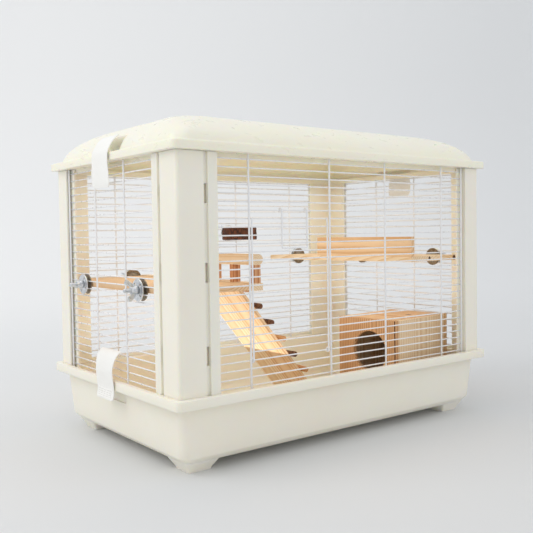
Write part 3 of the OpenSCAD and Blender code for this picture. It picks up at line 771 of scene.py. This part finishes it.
# ------------------------------------------------------------------ ladder

rest = Matrix.Translation(V(-135.5, 0, 233.1)) @ Matrix.Rotation(math.radians(50.2), 4, "Y")
for i, y in enumerate((-77.4, -25.0)):
    bm = bmesh.new()
    prof = [(3 * math.cos(math.radians(a)), 3 * math.sin(math.radians(a))) for a in range(90, 271, 15)] + [(278.2, -3.0), (278.2, 3.0)]
    loft(bm, [[(x, yy, z) for x, z in prof] for yy in (y + 0.15, y + 52.0)], place=local)
    soft_edges(bm, 0.6, 2, 45)
    finish_mesh("ladder_plank_%d" % (i + 1), bm, wood("pine_ladder_%d" % i, *(PALE if i else WARM), axis="X", pith=(-0.05 + 0.06 * i, -0.035 - 0.01 * i), ring=0.0040, seed=20 + i),
                "ladder", ["ladder_planks"] if i == 0 else ["ladder_planks"], 35, rest)
rnd = random.Random(7)
for i in range(8):
    a = 20.7 + 34 * i
    bm = bmesh.new()
    dark = i in (1, 2, 4)
    n_st = 16
    ph = rnd.uniform(0, 9)
    pts, rad = [], []
    for k in range(n_st + 1):
        y = -85.4 + 120.6 * k / n_st
        pts.append(local(a + 0.35 * math.sin(ph + k * 0.7), y, 7.75 + 0.2 * math.sin(ph * 2 + k * 0.5)))
        w = 0.965 + 0.035 * math.sin(ph * 3 + k * 1.3)
        if k in (0, n_st):
            w *= 0.93
        rad.append(w)
    tube(bm, pts, 4.55 * MM, 18, False, lambda k, rad=rad: rad[k])
    finish_mesh("ladder_rung_%d" % (i + 1), bm, TWIG if dark else W_rung, "ladder", ["ladder_rungs"], 50, rest)

# ------------------------------------------------------------------ shelf, fence and log step

bm = bmesh.new()
outline = [(123.4, 168.4), (161, -150.6), (280.3, -150.6), (280.3, 168.4)]
loft(bm, [[(x, y, z) for x, y in outline] for z in (253.3, 261.3)])
soft_edges(bm, 0.8, 3)
finish_mesh("shelf_plank", bm, W_shelf, "cage_frame", ["shelf_board"], 35)
fence = Matrix.Translation(V(161, -150.6, 261.3)) @ Matrix.Rotation(math.atan2(319, -37.6), 4, "Z")
board("shelf_fence_board", 0, 201, -8, 0, 0, 32.4, W_fence, "cage_frame", ["shelf_fence"], 0.8, fence)

LOG = (31.4, 141.2, 32.4)


def log_r(a, z):
    v = Vector((math.cos(a) * 1.7, math.sin(a) * 1.7, z * 0.045))
    return LOG[2] - 1.5 + 1.0 * noise.noise(v) + 0.55 * noise.noise(v * 4.1) + 0.3 * noise.noise(v * 9.0)


bm = bmesh.new()
N = 120
zs = [291.8, 292.1, 292.9] + [293.9 + 17.3 * k / 14 for k in range(15)] + [312.2, 313.0, 313.3]
rings = []
for j, z in enumerate(zs):
    e = min(j, len(zs) - 1 - j)
    ease = (1.0, 0.4, 0.1)[e] if e < 3 else 0.0
    rings.append([(LOG[0] + (log_r(2 * math.pi * k / N, z) - ease) * math.cos(2 * math.pi * k / N),
                   LOG[1] + (log_r(2 * math.pi * k / N, z) - ease) * math.sin(2 * math.pi * k / N), z) for k in range(N)])
loft(bm, rings)
for f in bm.faces:
    if len(f.verts) > 4:
        f.material_index = 1
finish_mesh("log_step", bm, [BARK, log_end("log_end", LOG[0] * MM, (LOG[1] + DY) * MM, 0.0324)], "cage_frame", ["bark_step"], 50)

# ------------------------------------------------------------------ nest house

hm = Matrix.Translation(V(122.4, -151.7, 17.0)) @ Matrix.Rotation(math.radians(6.2), 4, "Z")
wall = raw_box(0, 8, 0, 117.2, 0, 144, local)
hole = bmesh.new()
loft(hole, [[(x, 52.8 + 33 * math.cos(2 * math.pi * k / 72), 91 + 33 * math.sin(2 * math.pi * k / 72)) for k in range(72)] for x in (-2, 10)], place=local)
slit = raw_box(-1, 2.2, 1.9, 3.0, -1, 145, local)
me = rounded(wall, [hole, slit])
bm = bmesh.new()
bm.from_mesh(me)
bpy.data.meshes.remove(me)
bmesh.ops.remove_doubles(bm, verts=bm.verts, dist=1e-7)
soft_edges(bm, 0.5, 2, 40)
wl = finish_mesh("house_door_wall", bm, [W_hleft, W_slit_shade], "house", ["house_left_wall"], 30, hm)
# the slit's faces take the dark wood: painted shade inside the slit
for p in wl.data.polygons:
    c = p.center
    if 0.0012 < c.y < 0.0036 and c.x < 0.0026 and 0.001 < c.z < 0.143:
        p.material_index = 1
board("house_front_board", 8.05, 136.25, 0, 8, 0, 143.6, W_hfront, "house", ["house_front_wall"], 0.5, hm)
board("house_right_board", 136.3, 144.3, 0, 117.2, 0, 144, W_hright, "house", ["house_right_wall"], 0.6, hm)
board("house_back_board", 8.05, 136.25, 109.2, 117.2, 0, 143.6, W_hback, "house", ["house_back_wall"], 0.5, hm)
bm = bmesh.new()
for x in (8.0, 126.3):
    b2 = soft_edges(raw_box(x, x + 10, 8.1, 109.1, 125.6, 135.6, local), 0.5, 2)
    t_me = bpy.data.meshes.new("t")
    b2.to_mesh(t_me)
    b2.free()
    bm.from_mesh(t_me)
    bpy.data.meshes.remove(t_me)
finish_mesh("house_batten_pair", bm, W_hback, "house", ["house_cleats"], 40, hm)
# the loose roof board: its left edge is not quite straight, so it leaves dark gaps
edge = [(8.8, 8.8), (8.8, 16)] + [(8.8 + 1.9 * math.sin(math.pi * k / 8), 18 + 22 * k / 8) for k in range(9)] + \
       [(8.8, 52)] + [(8.8 + 2.3 * math.sin(math.pi * k / 8), 56 + 28 * k / 8) for k in range(9)] + [(8.8, 96), (8.8, 108.4)]
outline = edge + [(135.5, 108.4), (135.5, 8.8)]
bm = bmesh.new()
loft(bm, [[(x, y, z) for x, y in outline] for z in (136.05, 143.9)], place=local)
soft_edges(bm, 0.4, 2, 45)
finish_mesh("house_roof_board", bm, W_hroof, "house_roof", ["house_roof"], 35, hm)

# ------------------------------------------------------------------ fasteners

SPOTS = []
for y in (-76.4, 97.3):
    SPOTS.append((Matrix.Translation(V(-PX, y, 230.6)) @ Matrix.Rotation(math.radians(-90), 4, "Y"), PX - 280.3))
for y in (-92.6, 82.0):
    SPOTS.append((Matrix.Translation(V(PX, y, 257.3)) @ Matrix.Rotation(math.radians(90), 4, "Y"), PX - 280.3))
for x, z, end in ((-166.8, 230.6, 169.4), (198.7, 257.3, 168.4), (33.5, 304.5, 173.6)):
    SPOTS.append((Matrix.Translation(V(x, PY, z)) @ Matrix.Rotation(math.radians(-90), 4, "X"), PY - end))

bm = bmesh.new()
for m4, deep in SPOTS:
    prof = [(2.2, -deep), (2.95, -deep + 0.3)]
    z = -deep + 0.8
    while z < 17.8:
        prof += [(2.95, z), (2.95, z + 0.2), (2.62, z + 0.5), (2.62, z + 0.6)]
        z += 0.95
    prof += [(2.8, 18.1), (2.5, 18.7), (1.6, 19.0)]
    lathe(bm, prof, 20, m4)
finish_mesh("bolt_shanks", bm, ZINC, "cage_frame", ["mounting_bolts"], 60)


def one_washer(slots):
    b2 = bmesh.new()
    p = [(3.3, 0.15), (3.45, 0.0), (14.6, 0.0), (15.0, 0.3), (15.0, 1.25), (14.7, 1.6), (13.2, 1.62), (12.7, 1.32), (8.2, 1.32), (7.6, 1.6), (3.5, 1.6), (3.3, 1.4), (3.3, 0.15)]
    lathe(b2, p, 56)
    if not slots:
        me_ = bpy.data.meshes.new("w")
        b2.to_mesh(me_)
        b2.free()
        return me_
    cs = []
    for k in range(4):
        a = math.radians(45 + 90 * k)
        m4 = Matrix.Rotation(a, 4, "Z")
        cs.append(raw_box(8.0, 12.0, -1.3, 1.3, -1, 3, lambda x, y, z, m4=m4: m4 @ local(x, y, z)))
    return rounded(b2, cs)


def copies(me_, mats4):
    b2 = bmesh.new()
    for m4 in mats4:
        c_ = me_.copy()
        c_.transform(m4)
        b2.from_mesh(c_)
        bpy.data.meshes.remove(c_)
    return b2


w_out = one_washer(True)
bm = copies(w_out, [m4 @ Matrix.Translation((0, 0, (-4.15 + 1.35 + 0.3) * MM)) @ Matrix.Rotation(math.radians(17 * i), 4, "Z") for i, (m4, _) in enumerate(SPOTS)])
finish_mesh("outer_washer_set", bm, ZINC, "cage_frame", ["outer_washers"], 40)
# the inner washers use the darker zinc: painted shade
w_in = one_washer(False)
bm = copies(w_in, [m4 @ Matrix.Translation((0, 0, (-6.3 - 0.95 - 2 + 1.6) * MM)) @ Matrix.Rotation(math.pi, 4, "X") for m4, _ in SPOTS[:6]])
finish_mesh("inner_washer_set", bm, ZINC_SHADED, "cage_frame", ["inner_washers"], 40)


def nut_mesh():
    b2 = bmesh.new()
    lathe(b2, [(3.08, 0.2), (3.3, 0.0), (6.0, 0.0), (6.2, 0.25), (6.2, 2.6), (5.8, 3.2), (5.2, 3.8), (4.9, 8.0), (4.5, 8.5), (3.3, 8.5), (3.08, 8.3), (3.08, 0.2)], 36)
    for s in (-1, 1):
        ctr = [(3.6, 4.6, 3.4), (6.0, 5.4, 3.5), (8.5, 7.6, 3.3), (10.6, 10.3, 3.6), (12.2, 12.6, 3.9), (13.2, 14.0, 2.9)]
        prev = None
        for j, (x, z, w) in enumerate(ctr):
            a = ctr[max(j - 1, 0)]
            b_ = ctr[min(j + 1, len(ctr) - 1)]
            dx, dz = b_[0] - a[0], b_[1] - a[1]
            ln = math.hypot(dx, dz)
            nx, nz = -dz / ln, dx / ln
            th = (1.5, 1.35, 1.15, 1.1, 1.1, 0.7)[j]
            ring = []
            for k in range(16):
                t = 2 * math.pi * k / 16
                c_, s_ = math.cos(t), math.sin(t)
                c_ = math.copysign(abs(c_) ** 0.6, c_)
                s_ = math.copysign(abs(s_) ** 0.75, s_)
                ring.append(b2.verts.new(local(s * (x + nx * w * c_), th * s_, z + nz * w * c_)))
            if prev:
                for k in range(16):
                    b2.faces.new((prev[k], prev[(k + 1) % 16], ring[(k + 1) % 16], ring[k]))
            else:
                b2.faces.new(list(reversed(ring)))
            prev = ring
        b2.faces.new(prev)
    bmesh.ops.recalc_face_normals(b2, faces=b2.faces)
    me_ = bpy.data.meshes.new("nut")
    b2.to_mesh(me_)
    b2.free()
    return me_


nut = nut_mesh()
for (n, turn), (m4, _) in zip((("left_front", 20), ("left_rear", 100), ("right_front", 60), ("right_rear", 150), ("balcony", 40), ("shelf", 120), ("step", 75)), SPOTS):
    finish_me(n + "_wing_nut_casting", nut.copy(), ZINC, n + "_wing_nut", [n + "_wing_nut"], 45,
              m4 @ Matrix.Translation((0, 0, 0.6 * MM)) @ Matrix.Rotation(math.radians(turn), 4, "Z"))
for tmp_me in (nut, w_in, w_out):
    bpy.data.meshes.remove(tmp_me)

# ------------------------------------------------------------------ stage, light and camera

st = Mat("studio_paper_painted_falloff")
sep = st.t.nodes.new("ShaderNodeSeparateXYZ")
st.put(sep.inputs[0], st.co)


def along(cx, cy, a, b):
    d = st.math("ADD", st.math("MULTIPLY", sep.outputs[0], cx), st.math("MULTIPLY", sep.outputs[1], cy))
    return st.math("MULTIPLY", st.math("SUBTRACT", d, a), 1.0 / (b - a))


# painted light and shade: the paper's colour is brighter towards the back and left, darker towards the front and right
deep = along(0.606, 0.795, -0.9, 1.6)
lit_paper_left = st.ramp(deep, [(0.0, lin(224, 225, 225)), (0.5, lin(231, 232, 232)), (1.0, lin(247, 247, 246))])
shaded_paper_right = st.ramp(deep, [(0.0, lin(217, 218, 218)), (0.5, lin(219, 220, 220)), (1.0, lin(233, 234, 234))])
side = st.math("ADD", along(0.795, -0.606, -1.1, 1.1), st.math("MULTIPLY", st.noise(st.co, 0.8, 2.0), 0.02))
st.color(st.mix(st.ramp(side, [(0.0, 0.0), (1.0, 1.0)]), lit_paper_left, shaded_paper_right))
st.rough(0.9)
bm = bmesh.new()
prof = [(-3.0, 0.0), (1.2, 0.0)] + [(1.2 + 1.0 * math.sin(math.radians(a)), 1.0 - 1.0 * math.cos(math.radians(a))) for a in range(10, 91, 10)] + [(2.2, 4.5)]
turn = Matrix.Rotation(math.radians(-37.3), 4, "Z")
rows2 = []
for d_, z in prof:
    rows2.append([bm.verts.new(turn @ Vector((x, d_, z))) for x in (-5.0, 5.0)])
for a, b_ in zip(rows2, rows2[1:]):
    bm.faces.new((a[0], a[1], b_[1], b_[0]))
me = bpy.data.meshes.new("studio_sweep")
bm.to_mesh(me)
bm.free()
for p in me.polygons:
    p.use_smooth = True
floor = bpy.data.objects.new("studio_sweep", me)
me.materials.append(st.m)
bpy.context.scene.collection.objects.link(floor)

world = bpy.data.worlds.new("studio")
bpy.context.scene.world = world
world.use_nodes = True
bg = world.node_tree.nodes["Background"]
bg.inputs[0].default_value = (0.945, 0.965, 1.0, 1.0)
bg.inputs[1].default_value = 0.79


def area(name, loc, target, size, power, color=(1, 1, 1)):
    li = bpy.data.lights.new(name, "AREA")
    li.shape = "RECTANGLE"
    li.size, li.size_y = size
    li.energy = power
    li.color = color
    o = bpy.data.objects.new(name, li)
    o.location = loc
    o.rotation_euler = (Vector(target) - Vector(loc)).to_track_quat("-Z", "Y").to_euler()
    o.visible_camera = False
    bpy.context.scene.collection.objects.link(o)
    return o


area("key_left", (-2.1, 0.5, 1.9), (0, 0, 0.3), (1.6, 1.6), 17, (1.0, 0.985, 0.96))
area("top", (-0.2, 0.1, 2.4), (0, 0, 0), (2.2, 2.2), 6, (1.0, 0.99, 0.97))
area("fill_right", (1.0, -1.5, 0.8), (0.05, 0, 0.2), (1.2, 0.9), 1.6, (1.0, 0.98, 0.95))
# the real roof lets light through, so the inside glows a little
area("glow_down", (0, -0.005, 0.394), (0, -0.004, 0), (0.50, 0.30), 0.36, (1.0, 0.93, 0.84))
area("glow_up", (-0.10, -0.005, 0.118), (-0.10, -0.004, 0.4), (0.30, 0.28), 0.28, (1.0, 0.95, 0.88))
area("glow_up_right", (0.185, -0.005, 0.172), (0.185, -0.004, 0.4), (0.14, 0.28), 0.11, (1.0, 0.95, 0.88))

cam = bpy.data.cameras.new("camera")
cam.sensor_width = 36.0
cam.lens = 49.69
cam.shift_x = 0.0063
cam.shift_y = -0.0048
cam.clip_start = 0.05
cam.clip_end = 50
co = bpy.data.objects.new("camera", cam)
az, pi_, ro = math.radians(37.343134), math.radians(2.364040), math.radians(-0.874892)
fwd = Vector((math.sin(az) * math.cos(pi_), math.cos(az) * math.cos(pi_), -math.sin(pi_)))
right = Vector((math.cos(az), -math.sin(az), 0))
up = right.cross(fwd)
r2 = right * math.cos(ro) + up * math.sin(ro)
u2 = -right * math.sin(ro) + up * math.cos(ro)
m = Matrix((r2, u2, -fwd)).transposed().to_4x4()
m.translation = Vector((-0.74287, -0.9481, 0.30226))
co.matrix_world = m
bpy.context.scene.collection.objects.link(co)
bpy.context.scene.camera = co
bpy.context.scene.view_settings.view_transform = "Standard"
